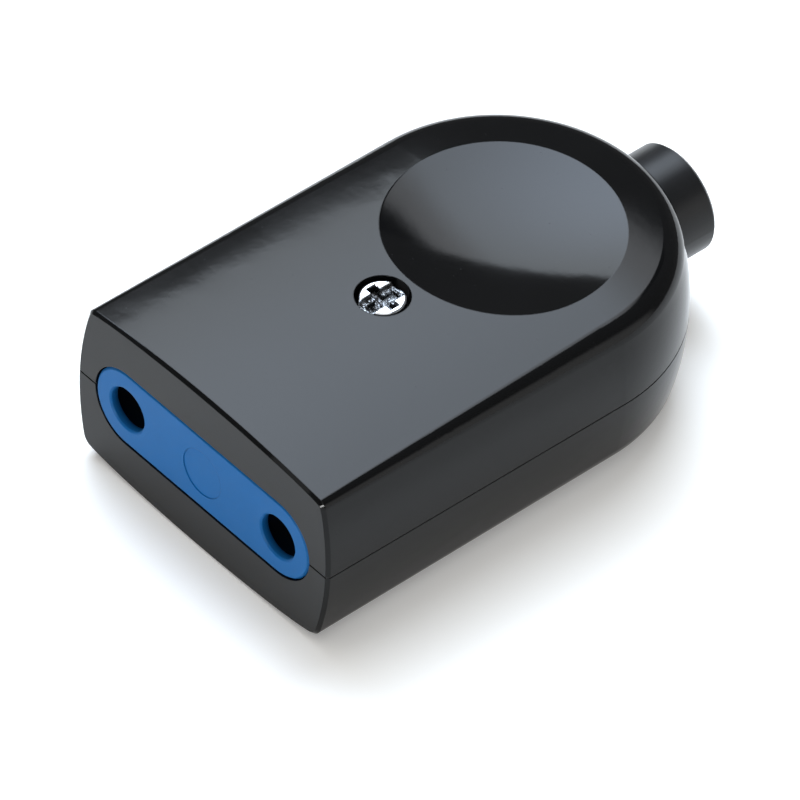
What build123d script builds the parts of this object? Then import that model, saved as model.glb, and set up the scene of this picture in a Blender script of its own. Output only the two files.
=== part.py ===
"""Two-pole inline power socket: bowed half shells round a contact insert, with a cable sleeve at the rear.

Lengths are in millimetres. While the pieces are drawn, the front face lies at y = 0 with the case
running back along +Y, and the parting plane of the two shells lies at z = 0.
"""
import os
from math import sqrt

from build123d import *

# Pins and contacts
pin_pitch = 19.0            # between the two pin axes
pin_hole_radius = 2.1       # entry hole for a 4 mm pin
pin_hole_chamfer = 0.15     # lead-in of the entry hole
pin_reach = 19.5            # depth behind the face that a pin may fill
contact_bore_radius = 2.02
contact_tube_wall = 0.58
contact_front = 3.6         # where the contact tube begins behind the face
contact_slit = 0.6
contact_collar_length = 1.8
chamber_clearance = 0.08    # between the contact collar and its chamber
barrel_radius = 3.4
barrel_web = 0.7            # solid brass between the pin bore and the wire bore
wire_bore_radius = 1.6
wire_bore_depth = 6.2
spring_thickness = 0.45
spring_width = 1.2
spring_place = 3.0          # from the contact's front end to the spring band
spring_bite = 0.2           # depth of the band's groove in the tube
spring_opening = 1.6

# Blue insert
insert_end_radius = 3.9     # rounded ends, concentric with the pin holes
insert_depth = 14.6
insert_skin = 0.8           # front wall round the pin holes
insert_edge_chamfer = 0.2
insert_core_wall = 1.2
insert_core_front = 2.2     # solid thickness between the pin chambers
insert_mark_radius = 2.35
insert_mark_depth = 0.08
flange_width = 21.0
flange_lip = 1.3            # how far the flange stands above the insert
flange_thickness = 1.2
flange_corner = 1.0
insert_clearance = 0.1      # shadow line between insert and shells
slide_clearance = 0.05      # flat pieces that slide into grooves

# Case form
face_land = 2.4             # face width beside the insert at the parting plane
side_bow_radius = 27.0
crown_radius = 115.0
front_edge_round = 0.9      # long edges at the front face
rear_edge_round = 2.1       # the same edges round the rear
base_extra_round = 0.5      # how much softer the underside's edges are
face_chamfer = 0.3          # broken edge all round the front face
parting_groove = 0.09
parting_line_depth = 0.08   # the same groove drawn across the front face
rest_flat_width = 10.0      # flat strip of the crowned underside
wall = 2.0
front_wall = 2.6
cavity_corner = 1.2         # cut under the rounded long edges
lip_thickness = 0.8
lip_height = 1.0
lip_clearance = 0.1
insert_rib = 1.4            # rib behind the insert's flange

# Thumb dish
dish_radius = 10.33
dish_depth = 0.83           # below its rim
dish_screw_land = 0.57      # land left between the dish rim and the screw hole

# Case screw and nut
screw_hole_radius = 2.4
screw_head_radius = 2.08
screw_head_height = 1.7
screw_head_chamfer = 0.25
screw_head_recess = 0.15    # head top below the crown
screw_shank_radius = 1.5
screw_length = 10.0
screw_tip_chamfer = 0.4
screw_shank_clearance = 0.15
thread_clearance = 0.05
cross_arm_width = 1.0
cross_arm_length = 3.2
cross_depth = 1.15
slot_width = 1.9            # slot along the case, through the head's rim
slot_depth = 0.55
nut_across_flats = 5.5
nut_thickness = 2.4
nut_clearance = 0.1
boss_radius = 4.3
boss_insert_gap = 0.4
boss_hole_depth = 5.0       # blind hole in the lower boss, below the parting plane

# Terminal screws
terminal_head_radius = 2.2
terminal_head_height = 1.6
terminal_slot_width = 0.7
terminal_slot_depth = 0.8
terminal_shank_radius = 1.45
terminal_bite = 0.8         # how far the tip enters the wire bore
spot_face_depth = 0.4
spot_face_margin = 0.3
terminal_headroom = 1.48

# Cable sleeve and its seat
sleeve_radius = 5.0
sleeve_bore_radius = 3.2
sleeve_protrusion = 3.9
sleeve_end_chamfer = 0.3
sleeve_bore_chamfer = 0.6
sleeve_flange_lip = 1.2
sleeve_flange_thickness = 1.5
sleeve_flange_place = 1.4   # from the seat block's front to the flange
sleeve_clearance = 0.1
gland_depth = 5.1           # seat block, measured forward from the rear end
gland_side_wall = 1.3       # block beside the flange groove

# Cord clamp
cord_radius = 3.1
clamp_depth = 5.0
clamp_gap = 2.5             # between clamp and seat block
clamp_bar_thickness = 2.2
clamp_bar_bottom = 0.8
clamp_arch_wall = 1.3
clamp_ridge_width = 1.2
clamp_ridge_height = 0.4
clamp_end_margin = 2.6      # bar beyond the screw axes
clamp_corner = 0.8
clamp_screw_gap = 0.8       # between cord and screw boss
clamp_boss_radius = 2.7
clamp_screw_radius = 1.3
clamp_screw_length = 7.0
clamp_head_radius = 2.3
clamp_head_height = 1.4
clamp_slot_width = 0.6
clamp_slot_depth = 0.7

# Ribs in the lower shell
cradle_thickness = 1.2
cradle_inset = 2.0          # from the barrel's ends to the cradle ribs
cradle_top = -0.5
stop_height = 1.4           # how far the stop reaches up behind the barrel's lower edge

# Places that follow from the sizes above
pin_offset = pin_pitch / 2
contact_tube_radius = contact_bore_radius + contact_tube_wall
spring_groove_radius = contact_tube_radius - spring_bite
chamber_radius = contact_tube_radius + spring_thickness + slide_clearance
collar_radius = chamber_radius - chamber_clearance
barrel_front = insert_depth
barrel_rear = pin_reach + barrel_web + wire_bore_depth
terminal_y = barrel_rear - wire_bore_depth / 2
terminal_seat = barrel_radius - spot_face_depth
half_width = pin_offset + insert_end_radius + face_land
ceiling_level = terminal_seat + terminal_head_height + terminal_headroom
crown_drop_at_terminals = (pin_offset + terminal_head_radius) ** 2 / (2 * crown_radius)
half_height = ceiling_level + wall + crown_drop_at_terminals
cavity_half_width = half_width - wall
rest_level = -half_height + rest_flat_width ** 2 / (8 * crown_radius)
screw_y = insert_depth + boss_insert_gap + boss_radius
arc_y = screw_y + screw_hole_radius + dish_screw_land + dish_radius
body_length = arc_y + half_width
overall_length = body_length + sleeve_protrusion
screw_seat = half_height - screw_head_recess - screw_head_height
dish_rim_level = half_height - crown_radius + sqrt(crown_radius ** 2 - dish_radius ** 2)
dish_sphere_radius = (dish_radius ** 2 + dish_depth ** 2) / (2 * dish_depth)
dish_centre = (0, arc_y, dish_rim_level - dish_depth + dish_sphere_radius)
flange_front = front_wall + slide_clearance
rib_front = flange_front + flange_thickness + slide_clearance
rib_rear = rib_front + insert_rib
gland_front = body_length - gland_depth
sleeve_flange_front = gland_front + sleeve_flange_place
sleeve_flange_radius = sleeve_radius + sleeve_flange_lip
gland_half_width = sleeve_flange_radius + gland_side_wall
clamp_y = gland_front - clamp_gap - clamp_depth / 2
clamp_screw_x = cord_radius + clamp_screw_gap + clamp_boss_radius
clamp_bar_top = clamp_bar_bottom + clamp_bar_thickness
sides = {"left": -1, "right": 1}


def across(y):
    """Plane of a cross-section at depth y: x to the right, sketch y up, facing the front."""
    return Plane(origin=(0, y, 0), x_dir=(1, 0, 0), z_dir=(0, -1, 0))


def run(sketch, y_start, y_end):
    """A cross-section drawn straight back from y_start to y_end."""
    return extrude(across(y_end) * sketch, y_end - y_start)


def upright(radius, x, y, z_low, z_high):
    """A vertical round bar."""
    return Pos(x, y, z_low) * extrude(Circle(radius), z_high - z_low)


def slab(x_size, y_low, y_high, z_low, z_high, x=0):
    """A block centred on x between the given depths and heights."""
    size = (x_size, y_high - y_low, z_high - z_low)
    return Pos(x, (y_low + y_high) / 2, (z_low + z_high) / 2) * Box(*size)


# Case form

def half_section(edge_round):
    """Section of the case above the parting plane: bowed sides, crowned top, long edges rounded."""
    right = Pos(half_width - side_bow_radius, 0) * Circle(side_bow_radius)
    left = Pos(side_bow_radius - half_width, 0) * Circle(side_bow_radius)
    crown = Pos(0, half_height - crown_radius) * Circle(crown_radius)
    above = Rectangle(2 * half_width, 2 * half_height, align=(Align.CENTER, Align.MIN))
    section = above & right & left & crown
    section = fillet(section.vertices().group_by(Axis.Y)[-1], edge_round)
    return chamfer(section.vertices().group_by(Axis.Y)[0], parting_groove)


def rear_turn(section):
    """The right half of a section turned round the rear arc."""
    quarter = section & Rectangle(2 * half_width, 4 * half_height, align=(Align.MIN, Align.CENTER))
    return revolve(across(arc_y) * quarter, Axis((0, arc_y, 0), (0, 0, 1)), 180)


def case_half(extra_round):
    """Solid upper half of the case, its long edges growing softer towards the rear."""
    front = half_section(front_edge_round + extra_round)
    rear = half_section(rear_edge_round + extra_round)
    half = loft([across(0) * front, across(arc_y) * rear], ruled=True) + rear_turn(rear)
    rim = half.edges().filter_by(lambda edge: edge.center().Y < parting_groove / 2)
    rim = rim.filter_by(lambda edge: edge.center().Z > parting_groove)
    return chamfer(rim, face_chamfer)


def plan(y_start, half):
    """Tombstone outline of the given half width, from y_start round the rear."""
    straight = Pos(0, y_start) * Rectangle(2 * half, arc_y - y_start, align=(Align.CENTER, Align.MIN))
    return straight + Pos(0, arc_y) * Circle(half)


def cavity_half():
    """Hollow of the upper half behind the front wall, its ceiling corners cut to follow the case."""
    hollow = extrude(plan(front_wall, cavity_half_width), ceiling_level)
    corners = hollow.edges().group_by(Axis.Z)[-1].sort_by(Axis.Y)[1:]
    return chamfer(corners, cavity_corner)


def insert_outline(clearance):
    """Round-ended outline of the insert."""
    return SlotOverall(pin_pitch + 2 * (insert_end_radius + clearance), 2 * (insert_end_radius + clearance))


def lip(grow):
    """Locating lip inside the walls at the parting plane, behind the insert's rib."""
    ring = plan(rib_rear, cavity_half_width + lip_thickness + grow) - plan(rib_rear, cavity_half_width)
    band = extrude(ring, lip_height + grow)
    gland = slab(2 * gland_half_width, gland_front, overall_length, 0, half_height)
    return band - gland


def insert_opening():
    """Cut for the insert through the front wall and the rib behind its flange."""
    return run(insert_outline(insert_clearance), 0, rib_rear)


def sleeve_seat():
    """Cut for the cable sleeve and its flange."""
    bore = run(Circle(sleeve_radius + sleeve_clearance), gland_front, overall_length)
    groove = run(
        Circle(sleeve_flange_radius + sleeve_clearance),
        sleeve_flange_front - slide_clearance,
        sleeve_flange_front + sleeve_flange_thickness + slide_clearance,
    )
    return bore + groove


def parting_line():
    """Fine groove across the front face at the parting plane."""
    return slab(2 * half_width, 0, parting_line_depth, 0, parting_groove)


def half_shell(extra_round):
    """What both shells share, drawn as the upper half: skin, insert rib, screw boss and sleeve seat."""
    rib = slab(2 * half_width, rib_front, rib_rear, 0, half_height)
    boss = upright(boss_radius, 0, screw_y, 0, half_height)
    gland = slab(2 * gland_half_width, gland_front, overall_length, 0, half_height)
    hollow = cavity_half() - rib - boss - gland
    return case_half(extra_round) - hollow - insert_opening() - sleeve_seat() - parting_line()


# Shells

def dish_ball(grow):
    """Ball whose lowest part forms the thumb dish; its poles lie level, away from the dish."""
    return Pos(*dish_centre) * Rot(X=90) * Sphere(dish_sphere_radius + grow)


def upper_shell():
    """Upper half shell with the thumb dish and the screw's counterbore."""
    dish = dish_ball(0) & upright(dish_radius, 0, arc_y, 0, 2 * half_height)
    shell = half_shell(0) + (cavity_half() & dish_ball(wall)) - sleeve_seat()
    shell -= lip(lip_clearance) + dish
    shell -= upright(screw_shank_radius + screw_shank_clearance, 0, screw_y, 0, screw_seat)
    return shell - upright(screw_hole_radius, 0, screw_y, screw_seat, half_height)


def clamp_posts():
    """Screw bosses and the ridged saddle under the cord."""
    posts = Part()
    for side in sides.values():
        posts += upright(clamp_boss_radius, side * clamp_screw_x, clamp_y, -half_height, clamp_bar_bottom)
    saddle_low = clamp_y - clamp_depth / 2
    saddle_high = clamp_y + clamp_depth / 2
    saddle = slab(2 * clamp_screw_x, saddle_low, saddle_high, -half_height, 0)
    ridge_low = clamp_y - clamp_ridge_width / 2
    ridge_high = clamp_y + clamp_ridge_width / 2
    saddle -= run(Circle(cord_radius), saddle_low, ridge_low)
    saddle -= run(Circle(cord_radius - clamp_ridge_height), ridge_low, ridge_high)
    saddle -= run(Circle(cord_radius), ridge_high, saddle_high)
    return posts + saddle


def barrel_cradles():
    """Notched ribs under each terminal barrel and a stop behind it."""
    ribs = Part()
    for side in sides.values():
        x = side * pin_offset
        for y in (barrel_front + cradle_inset, barrel_rear - cradle_inset):
            low, high = y - cradle_thickness / 2, y + cradle_thickness / 2
            ribs += slab(2 * barrel_radius, low, high, -half_height, cradle_top, x)
        ribs -= Pos(x) * run(Circle(barrel_radius + slide_clearance), barrel_front, barrel_rear)
        stop_front = barrel_rear + slide_clearance
        stop_top = -barrel_radius + stop_height
        ribs += slab(2 * barrel_radius, stop_front, stop_front + cradle_thickness, -half_height, stop_top, x)
    return ribs


def lower_shell():
    """Lower half shell with the nut pocket, barrel cradles, clamp posts and locating lip."""
    room = mirror(cavity_half(), Plane.XY) + upright(half_width, 0, arc_y, 0, clamp_bar_bottom)
    shell = mirror(half_shell(base_extra_round), Plane.XY)
    shell += (barrel_cradles() + clamp_posts()) & room
    pocket = RegularPolygon(nut_across_flats / 2 + nut_clearance, 6, major_radius=False)
    pocket_depth = nut_thickness + nut_clearance
    shell -= Pos(0, screw_y, -pocket_depth) * extrude(pocket, pocket_depth)
    shell -= upright(screw_shank_radius + screw_shank_clearance, 0, screw_y, -boss_hole_depth, 0)
    for side in sides.values():
        tip = clamp_bar_top - clamp_screw_length - thread_clearance
        hole_radius = clamp_screw_radius + thread_clearance
        shell -= upright(hole_radius, side * clamp_screw_x, clamp_y, tip, clamp_bar_bottom)
    shell -= slab(4 * half_width, -half_width, 2 * overall_length, -2 * half_height, rest_level)
    return shell + lip(0)


# Insert and contacts

def socket_insert():
    """Thin-walled insert with a chamber behind each pin hole and a flange that the shells hold."""
    insert = run(insert_outline(0), 0, insert_depth)
    insert = chamfer(insert.edges().group_by(Axis.Y)[0], insert_edge_chamfer)
    flange_height = 2 * (insert_end_radius + flange_lip)
    flange = RectangleRounded(flange_width, flange_height, flange_corner)
    insert += run(flange, flange_front, flange_front + flange_thickness)
    core_width = pin_pitch - 2 * insert_end_radius
    core_height = 2 * (insert_end_radius - insert_core_wall)
    insert -= run(Rectangle(core_width, core_height), insert_core_front, insert_depth)
    for side in sides.values():
        x = side * pin_offset
        insert -= Pos(x) * run(Circle(chamber_radius), insert_skin, insert_depth)
        insert -= Pos(x) * run(Circle(pin_hole_radius), 0, insert_skin)
    mouths = insert.edges().filter_by(GeomType.CIRCLE).group_by(Axis.Y)[0]
    mouths = mouths.filter_by(lambda edge: abs(edge.radius - pin_hole_radius) < pin_hole_chamfer)
    insert = chamfer(mouths, pin_hole_chamfer)
    return insert - run(Circle(insert_mark_radius), 0, insert_mark_depth)


def contact(x):
    """Turned brass contact: slit tube, seating collar and terminal barrel."""
    piece = run(Circle(contact_tube_radius), contact_front, barrel_front)
    piece += run(Circle(collar_radius), barrel_front - contact_collar_length, barrel_front)
    piece += run(Circle(barrel_radius), barrel_front, barrel_rear)
    piece -= run(Circle(contact_bore_radius), contact_front, pin_reach)
    piece -= run(Circle(wire_bore_radius), barrel_rear - wire_bore_depth, barrel_rear)
    slit_end = barrel_front - contact_collar_length
    piece -= slab(contact_slit, contact_front, slit_end, -barrel_radius, barrel_radius)
    groove = Circle(contact_tube_radius) - Circle(spring_groove_radius)
    groove_y = contact_front + spring_place
    piece -= run(groove, groove_y - slide_clearance, groove_y + spring_width + slide_clearance)
    piece -= upright(terminal_shank_radius + thread_clearance, 0, terminal_y, 0, barrel_radius)
    spot_radius = terminal_head_radius + spot_face_margin
    piece -= upright(spot_radius, 0, terminal_y, terminal_seat, barrel_radius)
    return Pos(x) * piece


def contact_spring(x):
    """Open steel band that closes the slit tube on the pin."""
    inner_radius = spring_groove_radius + slide_clearance
    outer_radius = inner_radius + spring_thickness
    opening = Rectangle(spring_opening, outer_radius, align=(Align.CENTER, Align.MIN))
    band = Circle(outer_radius) - Circle(inner_radius) - opening
    band_y = contact_front + spring_place
    return Pos(x) * run(band, band_y, band_y + spring_width)


def slotted_screw(head_radius, head_height, slot_width, slot_depth, shank_radius, length):
    """Cheese-head screw with its head resting on z = 0."""
    screw = upright(head_radius, 0, 0, 0, head_height) + upright(shank_radius, 0, 0, -length, 0)
    return screw - slab(2 * head_radius, -slot_width / 2, slot_width / 2, head_height - slot_depth, head_height)


def terminal_screw(x):
    """Screw that grips the wire in a terminal barrel."""
    length = terminal_seat - wire_bore_radius + terminal_bite
    screw = slotted_screw(terminal_head_radius, terminal_head_height, terminal_slot_width,
                          terminal_slot_depth, terminal_shank_radius, length)
    return Pos(x, terminal_y, terminal_seat) * screw


# Case screw and nut

def case_screw():
    """Plated case screw whose round head has a cross recess crossed by a slot."""
    head = extrude(Circle(screw_head_radius), screw_head_height)
    head = chamfer(head.edges().group_by(Axis.Z)[-1], screw_head_chamfer)
    arm = Rectangle(cross_arm_length, cross_arm_width)
    head -= Pos(0, 0, screw_head_height - cross_depth) * extrude(arm + Rot(Z=90) * arm, cross_depth)
    head -= slab(slot_width, -screw_head_radius, screw_head_radius,
                 screw_head_height - slot_depth, screw_head_height)
    shank = upright(screw_shank_radius, 0, 0, -screw_length, 0)
    shank = chamfer(shank.edges().group_by(Axis.Z)[0], screw_tip_chamfer)
    return Pos(0, screw_y, screw_seat) * (head + shank)


def case_nut():
    """Hexagon nut drawn up against the upper boss."""
    nut = extrude(RegularPolygon(nut_across_flats / 2, 6, major_radius=False), nut_thickness)
    nut -= upright(screw_shank_radius + thread_clearance, 0, 0, 0, nut_thickness)
    return Pos(0, screw_y, -nut_thickness) * nut


# Cable sleeve and cord clamp

def cable_sleeve():
    """Plain round sleeve for the cable, held by a flange between the shells."""
    sleeve = run(Circle(sleeve_radius), gland_front, overall_length)
    sleeve += run(
        Circle(sleeve_flange_radius), sleeve_flange_front, sleeve_flange_front + sleeve_flange_thickness
    )
    sleeve = chamfer(sleeve.edges().group_by(Axis.Y)[-1], sleeve_end_chamfer)
    sleeve -= run(Circle(sleeve_bore_radius), gland_front, overall_length)
    return chamfer(sleeve.edges().filter_by(GeomType.CIRCLE).group_by(Axis.Y)[0].sort_by(Edge.length)[0],
                   sleeve_bore_chamfer)


def cord_clamp():
    """Arched bar that presses the cord into its saddle."""
    half_length = clamp_screw_x + clamp_end_margin
    bar = Pos(0, (clamp_bar_bottom + clamp_bar_top) / 2) * Rectangle(2 * half_length, clamp_bar_thickness)
    above = Pos(0, clamp_bar_bottom) * Rectangle(
        2 * half_length, 2 * half_height, align=(Align.CENTER, Align.MIN)
    )
    arch = bar + (above & Circle(cord_radius + clamp_arch_wall))
    low, high = clamp_y - clamp_depth / 2, clamp_y + clamp_depth / 2
    clamp = run(arch - Circle(cord_radius), low, high)
    ridge = (above & Circle(cord_radius)) - Circle(cord_radius - clamp_ridge_height)
    clamp += run(ridge, clamp_y - clamp_ridge_width / 2, clamp_y + clamp_ridge_width / 2)
    ends = clamp.edges().filter_by(Axis.Z).filter_by(lambda edge: abs(edge.center().X) > clamp_screw_x)
    clamp = fillet(ends, clamp_corner)
    for side in sides.values():
        hole_radius = clamp_screw_radius + screw_shank_clearance
        clamp -= upright(hole_radius, side * clamp_screw_x, clamp_y, 0, 2 * half_height)
    return clamp


def clamp_screws():
    """The pair of screws through the cord clamp."""
    screw = slotted_screw(clamp_head_radius, clamp_head_height, clamp_slot_width,
                          clamp_slot_depth, clamp_screw_radius, clamp_screw_length)
    return [Pos(side * clamp_screw_x, clamp_y, clamp_bar_top) * screw for side in sides.values()]


def pieces():
    """Every piece of the socket by name."""
    found = {
        "upper_shell": upper_shell(),
        "lower_shell": lower_shell(),
        "socket_insert": socket_insert(),
        "case_screw": case_screw(),
        "case_nut": case_nut(),
        "cable_sleeve": cable_sleeve(),
        "cord_clamp": cord_clamp(),
        "clamp_screws": Compound(children=clamp_screws()),
    }
    for name, side in sides.items():
        x = side * pin_offset
        found[f"contact_{name}"] = contact(x)
        found[f"contact_spring_{name}"] = contact_spring(x)
        found[f"terminal_screw_{name}"] = terminal_screw(x)
    return found


# The finished socket stands on its underside with the origin below the middle of its length.
to_base = Pos(0, -overall_length / 2, -rest_level)
os.makedirs("parts", exist_ok=True)
for name, piece in pieces().items():
    export_step(to_base * piece, f"parts/{name}.step")
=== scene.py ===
"""Looks of the two-pole inline power socket: finishes, plated case screw, stage and camera."""
import math

import bmesh
import bpy
from bpy.props import FloatProperty, FloatVectorProperty, PointerProperty
from mathutils import Matrix, Vector, noise


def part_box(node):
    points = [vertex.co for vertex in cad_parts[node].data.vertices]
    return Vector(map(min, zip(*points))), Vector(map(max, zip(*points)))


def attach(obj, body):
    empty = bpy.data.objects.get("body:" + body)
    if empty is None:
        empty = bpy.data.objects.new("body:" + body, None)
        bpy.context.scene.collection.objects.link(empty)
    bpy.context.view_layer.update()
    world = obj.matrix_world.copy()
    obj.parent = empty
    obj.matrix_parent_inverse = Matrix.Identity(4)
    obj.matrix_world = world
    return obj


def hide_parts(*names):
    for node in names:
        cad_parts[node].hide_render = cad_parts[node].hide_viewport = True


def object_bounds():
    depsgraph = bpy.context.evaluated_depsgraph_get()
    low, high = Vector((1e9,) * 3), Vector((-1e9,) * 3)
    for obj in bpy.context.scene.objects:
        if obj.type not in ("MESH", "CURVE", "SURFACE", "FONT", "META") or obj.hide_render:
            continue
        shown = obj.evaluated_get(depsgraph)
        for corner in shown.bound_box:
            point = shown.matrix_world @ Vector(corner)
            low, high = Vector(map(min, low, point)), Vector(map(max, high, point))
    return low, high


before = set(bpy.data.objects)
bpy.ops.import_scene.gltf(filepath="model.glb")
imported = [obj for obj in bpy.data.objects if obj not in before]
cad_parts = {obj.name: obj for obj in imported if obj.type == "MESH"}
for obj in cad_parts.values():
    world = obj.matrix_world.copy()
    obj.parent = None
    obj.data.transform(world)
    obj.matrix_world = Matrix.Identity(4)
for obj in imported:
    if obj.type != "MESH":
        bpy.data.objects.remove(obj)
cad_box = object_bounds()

bl_info = {
    "name": "Inline power socket",
    "version": (1, 0, 0),
    "blender": (4, 5, 0),
    "location": "3D View > Sidebar > Socket",
    "description": "Finishes, case screw and stage of a two-pole inline power socket",
    "category": "Object",
}

MM = 0.001
MICRON = 1e-6
PICTURE_PIXELS = 800
SENSOR_WIDTH = 36.0
FLOOR_GAP = 0.02 * MM

screw_low, screw_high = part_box("case_screw")
parting_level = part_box("upper_shell")[0].z
face_centre = Vector((0, cad_box[0].y, parting_level))


# Settings that a user would change

class SocketFinishes(bpy.types.PropertyGroup):
    """Colours and gloss of the socket's materials."""

    case_black: FloatVectorProperty(
        name="Case black", description="Body colour of the two half shells",
        default=(0.0040, 0.0040, 0.0041), subtype="COLOR", min=0, max=1)
    case_roughness: FloatProperty(
        name="Case roughness", description="Roughness of the polished moulding", default=0.08, min=0, max=1,
        subtype="FACTOR")
    # Painted fill light: this grey is much lighter than the case black so that the front face looks brighter.
    face_painted_fill_grey: FloatVectorProperty(
        name="Front face grey", description="Body colour of the duller front face",
        default=(0.028, 0.028, 0.028), subtype="COLOR", min=0, max=1)
    face_roughness: FloatProperty(
        name="Front face roughness", description="Roughness of the duller front face", default=0.42, min=0,
        max=1, subtype="FACTOR")
    insert_blue: FloatVectorProperty(
        name="Insert blue", description="Body colour of the pin insert",
        default=(0.0105, 0.152, 0.435), subtype="COLOR", min=0, max=1)
    insert_roughness: FloatProperty(
        name="Insert roughness", description="Roughness of the satin insert", default=0.42, min=0, max=1,
        subtype="FACTOR")
    sleeve_black: FloatVectorProperty(
        name="Sleeve black", description="Body colour of the rubber cable sleeve",
        default=(0.0105, 0.0105, 0.0108), subtype="COLOR", min=0, max=1)
    sleeve_roughness: FloatProperty(
        name="Sleeve roughness", description="Roughness of the rubber cable sleeve", default=0.32, min=0,
        max=1, subtype="FACTOR")
    zinc: FloatVectorProperty(
        name="Zinc plating", description="Colour of the plated screws and nut",
        default=(0.78, 0.80, 0.83), subtype="COLOR", min=0, max=1)
    zinc_roughness: FloatProperty(
        name="Zinc roughness", description="Roughness of the plated screws and nut", default=0.14, min=0,
        max=1, subtype="FACTOR")
    brass: FloatVectorProperty(
        name="Brass", description="Colour of the turned contacts",
        default=(0.78, 0.55, 0.24), subtype="COLOR", min=0, max=1)
    spring_steel: FloatVectorProperty(
        name="Spring steel", description="Colour of the blued spring bands",
        default=(0.30, 0.32, 0.36), subtype="COLOR", min=0, max=1)
    clamp_grey: FloatVectorProperty(
        name="Clamp grey", description="Body colour of the cord clamp",
        default=(0.10, 0.10, 0.105), subtype="COLOR", min=0, max=1)


class SocketScrew(bpy.types.PropertyGroup):
    """Form of the case screw's head and thread."""

    head_height: FloatProperty(
        name="Head height", description="From the seat to the top of the head", default=1.7 * MM,
        unit="LENGTH")
    head_round: FloatProperty(
        name="Head round", description="Rounded rim of the head", default=0.3 * MM, unit="LENGTH")
    arm_width: FloatProperty(
        name="Arm width", description="Width of the cross recess's arms", default=1.0 * MM, unit="LENGTH")
    arm_reach: FloatProperty(
        name="Arm reach", description="From the screw's axis to an arm's end", default=1.6 * MM,
        unit="LENGTH")
    cross_depth: FloatProperty(
        name="Cross depth", description="Depth of the cross recess at the screw's axis", default=1.15 * MM,
        unit="LENGTH")
    bowl_share: FloatProperty(
        name="Bowl share", description="Share of the cross depth that is lost at an arm's end", default=0.25,
        min=0, max=1)
    slot_width: FloatProperty(
        name="Slot width", description="Width of the slot through the rim", default=1.9 * MM, unit="LENGTH")
    slot_depth: FloatProperty(
        name="Slot depth", description="Depth of the slot", default=0.55 * MM, unit="LENGTH")
    wall_slope: FloatProperty(
        name="Wall slope", description="Width over which a recess wall falls", default=0.12 * MM,
        unit="LENGTH")
    burr: FloatProperty(
        name="Burr", description="Height of the driver's marks in the recess", default=0.05 * MM,
        unit="LENGTH")
    burr_spacing: FloatProperty(
        name="Burr spacing", description="Distance between the driver's coarse marks", default=MM / 3,
        unit="LENGTH")
    fine_burr_spacing: FloatProperty(
        name="Fine burr spacing", description="Distance between the driver's fine marks, half as high",
        default=MM / 7, unit="LENGTH")
    thread_pitch: FloatProperty(
        name="Thread pitch", description="Lead of the thread on the shank", default=0.5 * MM, unit="LENGTH")
    thread_height: FloatProperty(
        name="Thread height", description="From the thread's root to its crest", default=0.27 * MM,
        unit="LENGTH")
    shank_radius: FloatProperty(
        name="Shank radius", description="Crest radius of the thread", default=1.5 * MM, unit="LENGTH")
    tip_chamfer: FloatProperty(
        name="Tip chamfer", description="Bevel at the end of the shank", default=0.4 * MM, unit="LENGTH")


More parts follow.
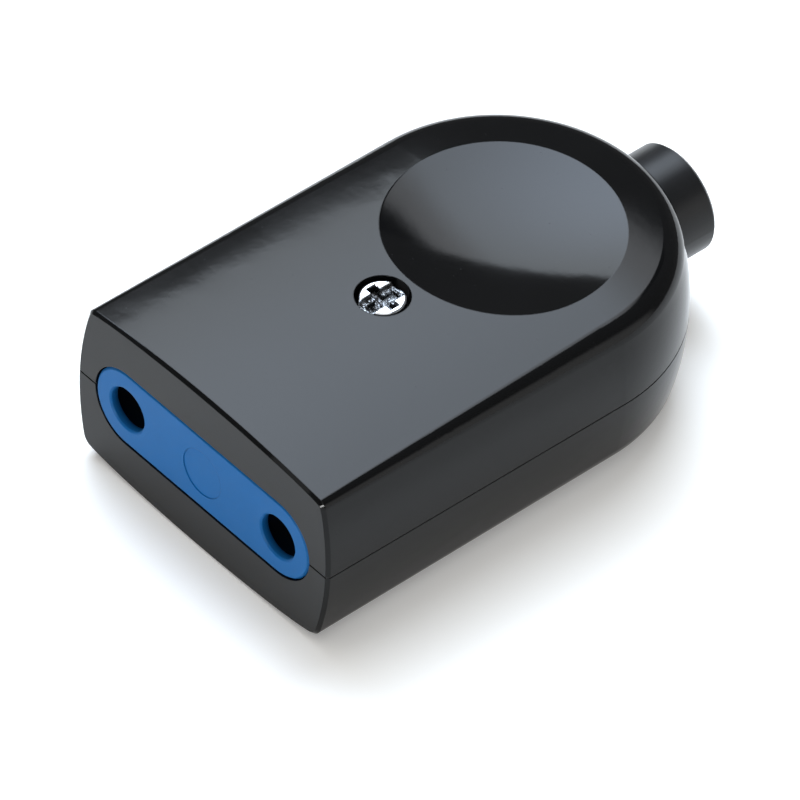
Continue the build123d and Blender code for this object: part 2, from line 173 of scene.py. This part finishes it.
class SocketStage(bpy.types.PropertyGroup):
    """Floor, light and camera."""

    camera_azimuth: FloatProperty(
        name="Camera azimuth", description="Turn of the camera round the socket",
        default=math.radians(47.396), unit="ROTATION")
    camera_elevation: FloatProperty(
        name="Camera elevation", description="Camera's angle above the floor",
        default=math.radians(45.043), unit="ROTATION")
    camera_roll: FloatProperty(
        name="Camera roll", description="Tilt of the picture", default=math.radians(2.697), unit="ROTATION")
    camera_distance: FloatProperty(
        name="Camera distance", description="From the camera to the front face", default=2.0, unit="LENGTH")
    picture_scale: FloatProperty(
        name="Picture scale", description="Picture pixels to one metre at the front face", default=12145.0)
    face_pixel: FloatVectorProperty(
        name="Face pixel", description="Picture place of the front face's centre, from the upper left",
        size=2, default=(201.97, 473.62))
    floor_radius: FloatProperty(
        name="Floor radius", description="Size of the round floor", default=0.6, unit="LENGTH")
    floor_colour: FloatVectorProperty(
        name="Floor colour", description="Colour of the pale floor",
        default=(0.98, 0.96, 0.915), subtype="COLOR", min=0, max=1)
    floor_glow: FloatProperty(
        name="Floor glow", description="Brightness that the backlit floor has of its own", default=0.20,
        min=0, max=1)
    softbox_place: FloatVectorProperty(
        name="Softbox place", description="Middle of the level overhead softbox", size=3,
        default=(-0.987, 0.707, 1.5), subtype="TRANSLATION", unit="LENGTH")
    softbox_size: FloatVectorProperty(
        name="Softbox size", description="Length and width of the softbox", size=2, default=(1.65, 1.417),
        unit="LENGTH")
    softbox_turn: FloatProperty(
        name="Softbox turn", description="Turn of the softbox about the upright axis",
        default=math.radians(20.6), unit="ROTATION")
    softbox_radiance: FloatProperty(
        name="Softbox radiance", description="Brightness of the bright spot, where 1 is white", default=13.6)
    softbox_spot: FloatVectorProperty(
        name="Softbox spot", description="From the softbox's middle to its bright spot", size=3,
        default=(-0.255, -0.514, 0), subtype="TRANSLATION", unit="LENGTH")
    spot_start: FloatProperty(
        name="Spot start", description="Radius of the bright spot's even middle", default=0.15, unit="LENGTH")
    spot_end: FloatProperty(
        name="Spot end", description="Radius at which the bright spot has faded", default=1.28, unit="LENGTH")
    spot_colour: FloatVectorProperty(
        name="Spot colour", description="Tint of the bright spot", default=(0.727, 0.839, 1.0),
        subtype="COLOR", min=0, max=1)
    rim_colour: FloatVectorProperty(
        name="Rim colour", description="Tint of the softbox away from the bright spot",
        default=(0.385, 0.42, 0.455), subtype="COLOR", min=0, max=1)
    corner_start: FloatProperty(
        name="Corner start", description="From the softbox's middle to where its far right corner fades",
        default=0.347, unit="LENGTH")
    corner_end: FloatProperty(
        name="Corner end", description="From the softbox's middle to where that corner is dim", default=0.55,
        unit="LENGTH")
    corner_colour: FloatVectorProperty(
        name="Corner colour", description="Tint of the softbox's dim corner", default=(0.27, 0.28, 0.295),
        subtype="COLOR", min=0, max=1)
    tip_start: FloatProperty(
        name="Tip start", description="From the softbox's middle to where the dim corner's tip starts",
        default=0.545, unit="LENGTH")
    tip_end: FloatProperty(
        name="Tip end", description="From the softbox's middle to where that tip is dark", default=0.66,
        unit="LENGTH")
    catch_place: FloatVectorProperty(
        name="Catch lamp place", description="Middle of the small lamp in front of the socket", size=3,
        default=(0.65, -1.3, 0.37), subtype="TRANSLATION", unit="LENGTH")
    catch_radius: FloatProperty(
        name="Catch lamp radius", description="Size of the small lamp in front", default=0.18,
        unit="LENGTH")
    catch_radiance: FloatProperty(
        name="Catch lamp radiance", description="Brightness of the small lamp, where 1 is white",
        default=30.0)
    cloth_radius: FloatProperty(
        name="Cloth radius", description="Distance of the black cloth", default=4.0, unit="LENGTH")
    cloth_glow: FloatProperty(
        name="Cloth glow", description="Brightness of the stray light on the black cloth", default=0.17,
        min=0, max=1)
    wall_side: FloatVectorProperty(
        name="Wall side", description="Direction of the pale wall beyond the cloth's right edge", size=3,
        default=(0.88, 0.465, 0.1), subtype="DIRECTION")
    wall_start: FloatProperty(
        name="Wall start", description="Cosine to the wall's direction where the wall starts", default=0.86)
    wall_end: FloatProperty(
        name="Wall end", description="Cosine to the wall's direction where the wall is full", default=0.97)
    wall_glow: FloatProperty(
        name="Wall glow", description="Brightness of the pale wall", default=1.4, min=0)
    opening_side: FloatVectorProperty(
        name="Opening side", description="Direction in which the black cloth is open to the room", size=3,
        default=(-0.2, -0.95, 0.25), subtype="DIRECTION")
    opening_rise: FloatProperty(
        name="Opening rise", description="Lowest angle of the cloth's opening", default=math.radians(40),
        unit="ROTATION")
    ambient: FloatProperty(
        name="Ambient", description="Brightness of the room, where 1 is white", default=1.0, min=0)


# Shader sockets as values

class Value:
    """A shader socket; arithmetic on it adds Math nodes."""

    def __init__(self, shader, socket):
        self.shader = shader
        self.socket = socket

    def combine(self, operation, first, second):
        return self.shader.node("ShaderNodeMath", {"operation": operation}, {0: first, 1: second})

    def __add__(self, other):
        return self.combine("ADD", self, other)

    def __radd__(self, other):
        return self.combine("ADD", other, self)

    def __sub__(self, other):
        return self.combine("SUBTRACT", self, other)

    def __rsub__(self, other):
        return self.combine("SUBTRACT", other, self)

    def __mul__(self, other):
        return self.combine("MULTIPLY", self, other)

    def __rmul__(self, other):
        return self.combine("MULTIPLY", other, self)

    def larger(self, other):
        return self.combine("MAXIMUM", self, other)

    def swing(self, amount):
        """A noise value moved to the middle of an amount: from minus half of it to plus half of it."""
        return amount * (self - 0.5)


class Shader:
    """Node tree of one finish, with a few nodes that the finishes share."""

    def __init__(self, tree):
        self.tree = tree
        self.tree.nodes.clear()

    def node(self, kind, settings, sockets, output=0):
        """Adds a node, applies its settings, feeds its sockets and gives one of its outputs."""
        node = self.tree.nodes.new(kind)
        for key, setting in settings.items():
            setattr(node, key, setting)
        for key, value in sockets.items():
            if isinstance(value, Value):
                self.tree.links.new(value.socket, node.inputs[key])
            else:
                node.inputs[key].default_value = value
        return Value(self, node.outputs[output]) if node.outputs else None

    def place(self, stretch=(1, 1, 1)):
        """Place on the piece in millimetres, stretched along the axes."""
        point = self.node("ShaderNodeTexCoord", {}, {}, "Object")
        scale = [size / MM for size in stretch]
        return self.node("ShaderNodeVectorMath", {"operation": "MULTIPLY"}, {0: point, 1: scale})

    def dot(self, vector, direction):
        """Length of a vector along a direction."""
        sockets = {0: vector, 1: direction}
        return self.node("ShaderNodeVectorMath", {"operation": "DOT_PRODUCT"}, sockets, "Value")

    def facing(self, direction, start, end):
        """Mask of the faces that look in a direction, from start to end of the cosine."""
        normal = self.node("ShaderNodeTexCoord", {}, {}, "Normal")
        return self.between(self.dot(normal, direction), start, end)

    def noise(self, point, per_mm, detail, roughness=0.5):
        """Soft noise with about per_mm features to a millimetre."""
        sockets = {"Vector": point, "Scale": per_mm, "Detail": detail, "Roughness": roughness}
        return self.node("ShaderNodeTexNoise", {}, sockets, "Fac")

    def between(self, value, start, end):
        """Smooth step of a value from start to end."""
        sockets = {"Value": value, "From Min": start, "From Max": end}
        return self.node("ShaderNodeMapRange", {"interpolation_type": "SMOOTHSTEP"}, sockets)

    def mix(self, mask, first, second):
        """Colour that goes from the first to the second with the mask."""
        sockets = {0: mask, 6: opaque(first), 7: opaque(second)}
        return self.node("ShaderNodeMix", {"data_type": "RGBA"}, sockets, 2)

    def background_ray(self):
        """1 for the rays that show a background: those of the camera, of gloss and through glass."""
        seen = self.node("ShaderNodeLightPath", {}, {}, "Is Camera Ray")
        seen = seen.larger(self.node("ShaderNodeLightPath", {}, {}, "Is Glossy Ray"))
        return seen.larger(self.node("ShaderNodeLightPath", {}, {}, "Is Transmission Ray"))

    def relief(self, height, depth, edge):
        """Normal of a surface with fine relief and slightly rounded edges."""
        base = self.node("ShaderNodeBevel", {"samples": 4}, {"Radius": edge})
        sockets = {"Strength": 1.0, "Distance": depth, "Height": height, "Normal": base}
        return self.node("ShaderNodeBump", {}, sockets)

    def finish(self, **sockets):
        """Principled surface from named sockets."""
        named = {key.replace("_", " "): value for key, value in sockets.items()}
        surface = self.node("ShaderNodeBsdfPrincipled", {}, named)
        self.node("ShaderNodeOutputMaterial", {}, {"Surface": surface})


def opaque(colour):
    """A colour with its fourth number, or a linked colour as it is."""
    return colour if isinstance(colour, Value) else (*colour[:3], 1.0)


def toned(colour, factor):
    """A colour made lighter or darker."""
    return tuple(min(1.0, part * factor) for part in colour)


def new_finish(name):
    """An empty material and its shader."""
    material = bpy.data.materials.new(name)
    material.use_nodes = True
    return material, Shader(material.node_tree)


# Finishes

def case_plastic(finishes):
    """Polished black moulding: faint flow marks, orange peel, sparse dust and a duller front face, whose
    lighter grey colour is painted fill light.
    """
    material, shader = new_finish("case_plastic")
    point = shader.place()
    flow = shader.noise(point, per_mm=0.16, detail=3)
    peel = shader.noise(point, per_mm=0.8, detail=2)
    grain = shader.noise(point, per_mm=7.0, detail=2)
    front = shader.facing((0, -1, 0), start=0.9, end=0.99)
    specks = shader.between(shader.noise(point, per_mm=5.0, detail=1), start=0.77, end=0.80)
    colour = shader.mix(flow, toned(finishes.case_black, 0.85), toned(finishes.case_black, 1.15))
    colour = shader.mix(specks * 0.35, colour, toned(finishes.case_black, 5))
    # Painted fill light: the front face gets a grey much lighter than the case black; its higher roughness is
    # its real duller finish.
    colour = shader.mix(front, colour, finishes.face_painted_fill_grey)
    dull = front * (finishes.face_roughness - finishes.case_roughness)
    roughness = finishes.case_roughness + dull + flow.swing(0.05) + grain.swing(0.04) + 0.12 * specks
    height = peel + 0.12 * grain + front * grain * 0.5
    shader.finish(
        Base_Color=colour, Roughness=roughness, IOR=1.45, Specular_IOR_Level=0.21,
        Normal=shader.relief(height, depth=2.0 * MICRON, edge=0.12 * MM))
    return material


def insert_plastic(finishes):
    """Satin blue moulding with faint flow marks and fine grain, with painted shade that darkens its pin
    holes.
    """
    material, shader = new_finish("insert_plastic")
    point = shader.place()
    inward = shader.node("ShaderNodeSeparateXYZ", {}, {"Vector": point}, "Y") - face_centre.y / MM
    # Painted shade: the colour falls to nearly black with depth inside the pin holes.
    painted_hole_shade = shader.between(inward, start=0.1, end=1.2)
    flow = shader.noise(point, per_mm=0.25, detail=3)
    grain = shader.noise(point, per_mm=6.0, detail=3)
    colour = shader.mix(flow, toned(finishes.insert_blue, 0.94), toned(finishes.insert_blue, 1.06))
    colour = shader.mix(painted_hole_shade, colour, toned(finishes.insert_blue, 0.04))
    roughness = finishes.insert_roughness + grain.swing(0.08) + flow.swing(0.05)
    shader.finish(
        Base_Color=colour, Roughness=roughness, IOR=1.45, Specular_IOR_Level=0.125,
        Normal=shader.relief(grain + 0.5 * flow, depth=2.5 * MICRON, edge=0.1 * MM))
    return material


def sleeve_rubber(finishes):
    """Black soft sleeve with fine grain and drawn lines along it."""
    material, shader = new_finish("sleeve_rubber")
    grain = shader.noise(shader.place(), per_mm=8.0, detail=3)
    lines = shader.noise(shader.place(stretch=(1, 0.08, 1)), per_mm=3.0, detail=2)
    colour = shader.mix(grain, toned(finishes.sleeve_black, 0.85), toned(finishes.sleeve_black, 1.2))
    roughness = finishes.sleeve_roughness + grain.swing(0.10) + lines.swing(0.06)
    shader.finish(
        Base_Color=colour, Roughness=roughness, IOR=1.5, Specular_IOR_Level=0.22,
        Normal=shader.relief(grain + lines, depth=3.0 * MICRON, edge=0.2 * MM))
    return material


def plated_steel(finishes):
    """Bright zinc plating with cloudy patches and fine scratches."""
    material, shader = new_finish("plated_steel")
    cloud = shader.noise(shader.place(), per_mm=1.6, detail=3)
    scratch = shader.noise(shader.place(stretch=(0.3, 1, 1)), per_mm=14.0, detail=2)
    colour = shader.mix(cloud, toned(finishes.zinc, 0.92), toned(finishes.zinc, 1.05))
    roughness = finishes.zinc_roughness + cloud.swing(0.10) + scratch.swing(0.10)
    shader.finish(
        Base_Color=colour, Metallic=1.0, Roughness=roughness,
        Normal=shader.relief(scratch + cloud, depth=1.5 * MICRON, edge=0.04 * MM))
    return material


def screw_steel(finishes):
    """The same plating on the case screw, dulled in its recess, with painted shade and painted glint streaks
    in the recess's colour.
    """
    material, shader = new_finish("screw_steel")
    point = shader.place()
    level = shader.node("ShaderNodeSeparateXYZ", {}, {"Vector": point}, "Z")
    depth = screw_high.z / MM - level
    # Painted shade: the recess is coloured near black, streaked with painted glints; the added roughness
    # there is real.
    recess = shader.between(depth, start=0.12, end=0.5)
    cloud = shader.noise(point, per_mm=1.6, detail=3)
    scratch = shader.noise(shader.place(stretch=(0.3, 1, 1)), per_mm=14.0, detail=2)
    bright = shader.mix(cloud, toned(finishes.zinc, 0.92), toned(finishes.zinc, 1.05))
    painted_glint_streaks = shader.between(scratch, start=0.40, end=0.66)
    painted_recess_shade = shader.mix(painted_glint_streaks, toned(finishes.zinc, 0.02), toned(finishes.zinc, 0.26))
    roughness = finishes.zinc_roughness + cloud.swing(0.10) + scratch.swing(0.10) + 0.12 * recess
    shader.finish(
        Base_Color=shader.mix(recess, bright, painted_recess_shade), Metallic=1.0, Roughness=roughness,
        Normal=shader.relief(scratch + cloud, depth=1.5 * MICRON, edge=0.04 * MM))
    return material


def contact_brass(finishes):
    """Turned brass with fine rings round its axis and slight tarnish."""
    material, shader = new_finish("contact_brass")
    tarnish = shader.noise(shader.place(), per_mm=0.6, detail=3)
    turning = shader.noise(shader.place(stretch=(0.05, 1, 0.05)), per_mm=12.0, detail=1)
    colour = shader.mix(tarnish, finishes.brass, toned(finishes.brass, 0.72))
    shader.finish(
        Base_Color=colour, Metallic=1.0, Roughness=0.24 + tarnish.swing(0.14) + turning.swing(0.10),
        Normal=shader.relief(turning, depth=2.5 * MICRON, edge=0.05 * MM))
    return material


def blued_steel(finishes):
    """Blued spring steel with rolling lines."""
    material, shader = new_finish("spring_steel")
    tint = shader.noise(shader.place(), per_mm=0.9, detail=2)
    rolled = shader.noise(shader.place(stretch=(1, 0.1, 1)), per_mm=10.0, detail=2)
    colour = shader.mix(tint, finishes.spring_steel, toned(finishes.spring_steel, 0.7))
    shader.finish(
        Base_Color=colour, Metallic=1.0, Roughness=0.3 + rolled.swing(0.12),
        Normal=shader.relief(rolled, depth=2.0 * MICRON, edge=0.04 * MM))
    return material


def clamp_plastic(finishes):
    """Dull grey glass-filled moulding with short fibres at the surface."""
    material, shader = new_finish("clamp_plastic")
    fibre = shader.noise(shader.place(stretch=(0.35, 1, 1)), per_mm=5.0, detail=4, roughness=0.65)
    colour = shader.mix(fibre, toned(finishes.clamp_grey, 0.8), toned(finishes.clamp_grey, 1.25))
    shader.finish(
        Base_Color=colour, Roughness=0.5 + fibre.swing(0.15), IOR=1.5,
        Normal=shader.relief(fibre, depth=6.0 * MICRON, edge=0.08 * MM))
    return material


def dress(material, *nodes):
    """Gives a finish to nodes of the frame."""
    for name in nodes:
        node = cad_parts[name]
        if not node.material_slots:
            node.data.materials.append(material)
        for slot in node.material_slots:
            slot.material = material


def finish_named(make, name, finishes):
    """The finish of that name, made once."""
    return bpy.data.materials.get(name) or make(finishes)


# Case screw

def fall(distance, slope):
    """Share of the depth that a recess has reached at a distance inside its outline."""
    share = min(1.0, max(0.0, distance / slope))
    return share * share * (3 - 2 * share)


def recess_depth(screw, x, y):
    """Depth of the cross recess and the slot below the flat of the head."""
    half_arm = screw.arm_width / 2
    across_arm = min(screw.arm_reach - abs(x), half_arm - abs(y))
    along_arm = min(screw.arm_reach - abs(y), half_arm - abs(x))
    bowl = 1 - screw.bowl_share * math.hypot(x, y) / screw.arm_reach
    cross = screw.cross_depth * bowl * fall(max(across_arm, along_arm), screw.wall_slope)
    slot = screw.slot_depth * fall(screw.slot_width / 2 - abs(x), screw.wall_slope)
    depth = max(cross, slot)
    coarse = noise.noise(Vector((x, y, 0)) / screw.burr_spacing)
    fine = noise.noise(Vector((y, x, 1)) / screw.fine_burr_spacing)
    return depth + screw.burr * (coarse + fine / 2) * min(1.0, depth / screw.slot_depth)


def head_rows(screw, head_radius, turns):
    """Rings of the head from its middle over the rounded rim to its underside."""
    flat_radius = head_radius - screw.head_round
    rings = 84
    radii = [flat_radius * ring / rings for ring in range(1, rings + 1)]
    rows = [[(radius, 0.0)] * len(turns) for radius in radii]
    rim_steps = 6
    for step in range(1, rim_steps + 1):
        angle = math.pi / 2 * step / rim_steps
        radius = flat_radius + screw.head_round * math.sin(angle)
        rows.append([(radius, screw.head_round * (math.cos(angle) - 1))] * len(turns))
    cut = []
    for row in rows:
        points = []
        for (radius, level), turn in zip(row, turns):
            depth = recess_depth(screw, radius * math.cos(turn), radius * math.sin(turn))
            points.append((radius, min(level, -depth)))
        cut.append(points)
    cut.append([(head_radius, -screw.head_height)] * len(turns))
    return cut


def thread_rows(screw, length, turns):
    """Rings of the threaded shank from the head's underside to the bevelled tip."""
    rows_per_turn = 8
    count = round(length / screw.thread_pitch * rows_per_turn)
    rows = []
    for row in range(count + 1):
        level = -screw.head_height - length * row / count
        tip = max(0.0, screw.tip_chamfer - (length - length * row / count))
        points = []
        for turn in turns:
            lead = (length * row / count / screw.thread_pitch + turn / (2 * math.pi)) % 1
            ridge = abs(2 * lead - 1)
            points.append((screw.shank_radius - screw.thread_height * ridge - tip, level))
        rows.append(points)
    return rows


def turned_mesh(name, rows, turns, base):
    """Closed mesh through rings of radius and level, with a middle point at each end."""
    points = [base + Vector((0, 0, rows[0][0][1]))]
    for row in rows:
        for (radius, level), turn in zip(row, turns):
            points.append(base + Vector((radius * math.cos(turn), radius * math.sin(turn), level)))
    points.append(base + Vector((0, 0, rows[-1][0][1])))
    count, last = len(turns), len(points) - 1
    faces = []
    for step in range(count):
        following = (step + 1) % count
        faces.append((0, 1 + step, 1 + following))
        for row in range(len(rows) - 1):
            start, end = 1 + row * count, 1 + (row + 1) * count
            faces.append((start + step, end + step, end + following, start + following))
        foot = 1 + (len(rows) - 1) * count
        faces.append((last, foot + following, foot + step))
    mesh = bpy.data.meshes.new(name)
    mesh.from_pydata(points, [], faces)
    mesh.shade_smooth()
    return mesh


def add_object(name, data):
    """A new object in the scene."""
    piece = bpy.data.objects.new(name, data)
    bpy.context.scene.collection.objects.link(piece)
    return piece


# Operators

class SOCKET_OT_case(bpy.types.Operator):
    """Finish the two half shells"""

    bl_idname = "socket.case"
    bl_label = "Half shells"

    def execute(self, context):
        dress(case_plastic(context.scene.socket_finishes), "upper_shell", "lower_shell")
        return {"FINISHED"}


class SOCKET_OT_insert(bpy.types.Operator):
    """Finish the blue pin insert"""

    bl_idname = "socket.insert"
    bl_label = "Pin insert"

    def execute(self, context):
        dress(insert_plastic(context.scene.socket_finishes), "socket_insert")
        return {"FINISHED"}


class SOCKET_OT_contacts(bpy.types.Operator):
    """Finish the brass contacts, their spring bands and terminal screws"""

    bl_idname = "socket.contacts"
    bl_label = "Contacts"

    def execute(self, context):
        finishes = context.scene.socket_finishes
        dress(contact_brass(finishes), "contact_left", "contact_right")
        dress(blued_steel(finishes), "contact_spring_left", "contact_spring_right")
        zinc = finish_named(plated_steel, "plated_steel", finishes)
        dress(zinc, "terminal_screw_left", "terminal_screw_right")
        return {"FINISHED"}


class SOCKET_OT_sleeve(bpy.types.Operator):
    """Finish the cable sleeve, the cord clamp and its screws"""

    bl_idname = "socket.sleeve"
    bl_label = "Sleeve and clamp"

    def execute(self, context):
        finishes = context.scene.socket_finishes
        dress(sleeve_rubber(finishes), "cable_sleeve")
        dress(clamp_plastic(finishes), "cord_clamp")
        dress(finish_named(plated_steel, "plated_steel", finishes), "clamp_screws", "case_nut")
        return {"FINISHED"}


class SOCKET_OT_screw(bpy.types.Operator):
    """Build the case screw with its recess, slot and thread"""

    bl_idname = "socket.screw"
    bl_label = "Case screw"

    def execute(self, context):
        screw = context.scene.socket_screw
        steps = 192
        turns = [2 * math.pi * step / steps for step in range(steps)]
        base = Vector(((screw_low.x + screw_high.x) / 2, (screw_low.y + screw_high.y) / 2, screw_high.z))
        head_radius = (screw_high.x - screw_low.x) / 2
        length = screw_high.z - screw_low.z - screw.head_height
        rows = head_rows(screw, head_radius, turns) + thread_rows(screw, length, turns)
        piece = add_object("plated_case_screw", turned_mesh("plated_case_screw", rows, turns, base))
        piece.data.materials.append(screw_steel(context.scene.socket_finishes))
        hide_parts("case_screw")
        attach(piece, "root")
        return {"FINISHED"}


class SOCKET_OT_stage(bpy.types.Operator):
    """Set the floor, the light and the camera"""

    bl_idname = "socket.stage"
    bl_label = "Stage"

    def execute(self, context):
        stage = context.scene.socket_stage
        pale_floor(stage)
        black_cloth(stage)
        softbox(stage)
        catch_lamp(stage)
        room_light(context.scene, stage)
        photo_camera(context.scene, stage)
        context.scene.view_settings.view_transform = "Standard"
        return {"FINISHED"}


# Stage

def pale_floor(stage):
    """Round matt floor just under the socket."""
    mesh = bpy.data.meshes.new("floor")
    shape = bmesh.new()
    bmesh.ops.create_circle(shape, cap_ends=True, radius=stage.floor_radius, segments=128)
    shape.to_mesh(mesh)
    shape.free()
    floor = add_object("floor", mesh)
    floor.location.z = -FLOOR_GAP
    material, shader = new_finish("floor_paper")
    fibre = shader.noise(shader.place(), per_mm=0.4, detail=3)
    colour = shader.mix(fibre, toned(stage.floor_colour, 0.995), stage.floor_colour)
    glow = shader.mix(shader.background_ray(), (0, 0, 0), [stage.floor_glow] * 3)
    shader.finish(
        Base_Color=colour, Roughness=0.9, Specular_IOR_Level=0.1, Emission_Color=glow, Emission_Strength=1.0)
    mesh.materials.append(material)


def black_cloth(stage):
    """Dome of black cloth, open high on the room's side, with a pale wall; the camera looks through it."""
    mesh = bpy.data.meshes.new("black_cloth")
    shape = bmesh.new()
    bmesh.ops.create_uvsphere(shape, u_segments=96, v_segments=48, radius=stage.cloth_radius)
    lowest = stage.cloth_radius * math.sin(stage.opening_rise)
    side = Vector(stage.opening_side)
    middles = {face: face.calc_center_median() for face in shape.faces}
    opening = [face for face, middle in middles.items() if middle.z > lowest and middle.dot(side) > 0]
    bmesh.ops.delete(shape, geom=opening, context="FACES")
    shape.to_mesh(mesh)
    shape.free()
    cloth = add_object("black_cloth", mesh)
    cloth.visible_camera = False
    material, shader = new_finish("black_cloth")
    nap = shader.noise(shader.place(), per_mm=0.05, detail=2)
    outward = shader.node("ShaderNodeVectorMath", {"operation": "NORMALIZE"}, {0: shader.place()})
    cosine = shader.dot(outward, Vector(stage.wall_side).normalized())
    wall = shader.between(cosine, stage.wall_start, stage.wall_end)
    glow = shader.mix(wall, [stage.cloth_glow] * 3, [stage.wall_glow] * 3)
    shader.finish(
        Base_Color=shader.mix(nap, (0.012, 0.012, 0.012), (0.02, 0.02, 0.02)), Roughness=1.0,
        Emission_Color=glow, Emission_Strength=1.0)
    mesh.materials.append(material)


def softbox(stage):
    """Level softbox overhead, behind the socket on its left, with a bright spot and one dim corner."""
    mesh = bpy.data.meshes.new("softbox")
    shape = bmesh.new()
    stretch = Matrix.Diagonal((*stage.softbox_size, 1, 1))
    bmesh.ops.create_grid(shape, x_segments=1, y_segments=1, size=0.5, matrix=stretch)
    shape.to_mesh(mesh)
    shape.free()
    lamp = add_object("softbox", mesh)
    lamp.location = stage.softbox_place
    lamp.rotation_euler.z = stage.softbox_turn
    lamp.visible_camera = False
    material, shader = new_finish("softbox_cloth")
    point = shader.place()
    spot = Vector(stage.softbox_spot) / MM
    distance = shader.node("ShaderNodeVectorMath", {"operation": "DISTANCE"}, {0: point, 1: spot}, "Value")
    fade = shader.between(distance, stage.spot_start / MM, stage.spot_end / MM)
    reach = shader.dot(point, Vector((1, 1, 0)).normalized())
    dim = shader.between(reach, stage.corner_start / MM, stage.corner_end / MM)
    dark = shader.between(reach, stage.tip_start / MM, stage.tip_end / MM)
    glow = shader.mix(dim, shader.mix(fade, stage.spot_colour, stage.rim_colour), stage.corner_colour)
    glow = shader.mix(dark, glow, (0, 0, 0))
    shader.finish(Base_Color=(0, 0, 0, 1), Emission_Color=glow, Emission_Strength=stage.softbox_radiance)
    mesh.materials.append(material)


def catch_lamp(stage):
    """Small round lamp in front whose only trace is a speck of light in the gloss of the case's corner."""
    mesh = bpy.data.meshes.new("catch_lamp")
    shape = bmesh.new()
    bmesh.ops.create_circle(shape, cap_ends=True, radius=stage.catch_radius, segments=32)
    shape.to_mesh(mesh)
    shape.free()
    lamp = add_object("catch_lamp", mesh)
    lamp.location = stage.catch_place
    lamp.rotation_euler = Vector(stage.catch_place).to_track_quat("Z", "Y").to_euler()
    lamp.visible_camera = False
    lamp.visible_diffuse = False
    material, shader = new_finish("catch_lamp")
    shader.finish(
        Base_Color=(0, 0, 0, 1), Emission_Color=(1, 1, 1, 1), Emission_Strength=stage.catch_radiance)
    mesh.materials.append(material)


def room_light(scene, stage):
    """White room beyond the cloth, seen by the camera and through the cloth's opening."""
    world = bpy.data.worlds.new("room")
    world.use_nodes = True
    shader = Shader(world.node_tree)
    background = shader.node("ShaderNodeBackground", {}, {"Color": (1, 1, 1, 1), "Strength": stage.ambient})
    shader.node("ShaderNodeOutputWorld", {}, {"Surface": background})
    scene.world = world


def photo_camera(scene, stage):
    """Long-lens camera that puts the front face's centre at its place in the picture."""
    azimuth, elevation, roll = stage.camera_azimuth, stage.camera_elevation, stage.camera_roll
    level = Vector((math.cos(azimuth), math.sin(azimuth), 0))
    forward = Vector((-math.sin(azimuth), math.cos(azimuth), 0))
    back = Vector((0, 0, math.sin(elevation))) - forward * math.cos(elevation)
    rise = back.cross(level)
    right = level * math.cos(roll) + rise * math.sin(roll)
    up = rise * math.cos(roll) - level * math.sin(roll)
    middle = PICTURE_PIXELS / 2
    across = (middle - stage.face_pixel[0]) / stage.picture_scale
    above = (stage.face_pixel[1] - middle) / stage.picture_scale
    eye = face_centre + back * stage.camera_distance
    look = (eye - face_centre - right * across - up * above).normalized()
    right = (right - look * right.dot(look)).normalized()
    axes = Matrix((right, look.cross(right), look)).transposed()
    data = bpy.data.cameras.new("photo_camera")
    data.sensor_width = SENSOR_WIDTH
    data.lens = stage.picture_scale * stage.camera_distance / PICTURE_PIXELS * SENSOR_WIDTH
    data.clip_start = stage.camera_distance / 20
    data.clip_end = stage.camera_distance * 5
    camera = add_object("photo_camera", data)
    camera.matrix_world = Matrix.Translation(eye) @ axes.to_4x4()
    scene.camera = camera


# Panel and registration

class SOCKET_PT_panel(bpy.types.Panel):
    """Sidebar list of the socket's pieces"""

    bl_idname = "SOCKET_PT_panel"
    bl_label = "Inline power socket"
    bl_space_type = "VIEW_3D"
    bl_region_type = "UI"
    bl_category = "Socket"

    def draw(self, context):
        for operator in operators:
            self.layout.operator(operator.bl_idname)


groups = {"socket_finishes": SocketFinishes, "socket_screw": SocketScrew, "socket_stage": SocketStage}
operators = (SOCKET_OT_case, SOCKET_OT_insert, SOCKET_OT_contacts, SOCKET_OT_sleeve, SOCKET_OT_screw,
             SOCKET_OT_stage)


def register():
    for name, group in groups.items():
        bpy.utils.register_class(group)
        setattr(bpy.types.Scene, name, PointerProperty(type=group))
    for part in (*operators, SOCKET_PT_panel):
        bpy.utils.register_class(part)


def unregister():
    for part in (SOCKET_PT_panel, *reversed(operators)):
        bpy.utils.unregister_class(part)
    for name, group in groups.items():
        delattr(bpy.types.Scene, name)
        bpy.utils.unregister_class(group)


def main():
    register()
    bpy.ops.socket.case()
    bpy.ops.socket.insert()
    bpy.ops.socket.contacts()
    bpy.ops.socket.sleeve()
    bpy.ops.socket.screw()
    bpy.ops.socket.stage()


if __name__ == "__main__":
    main()
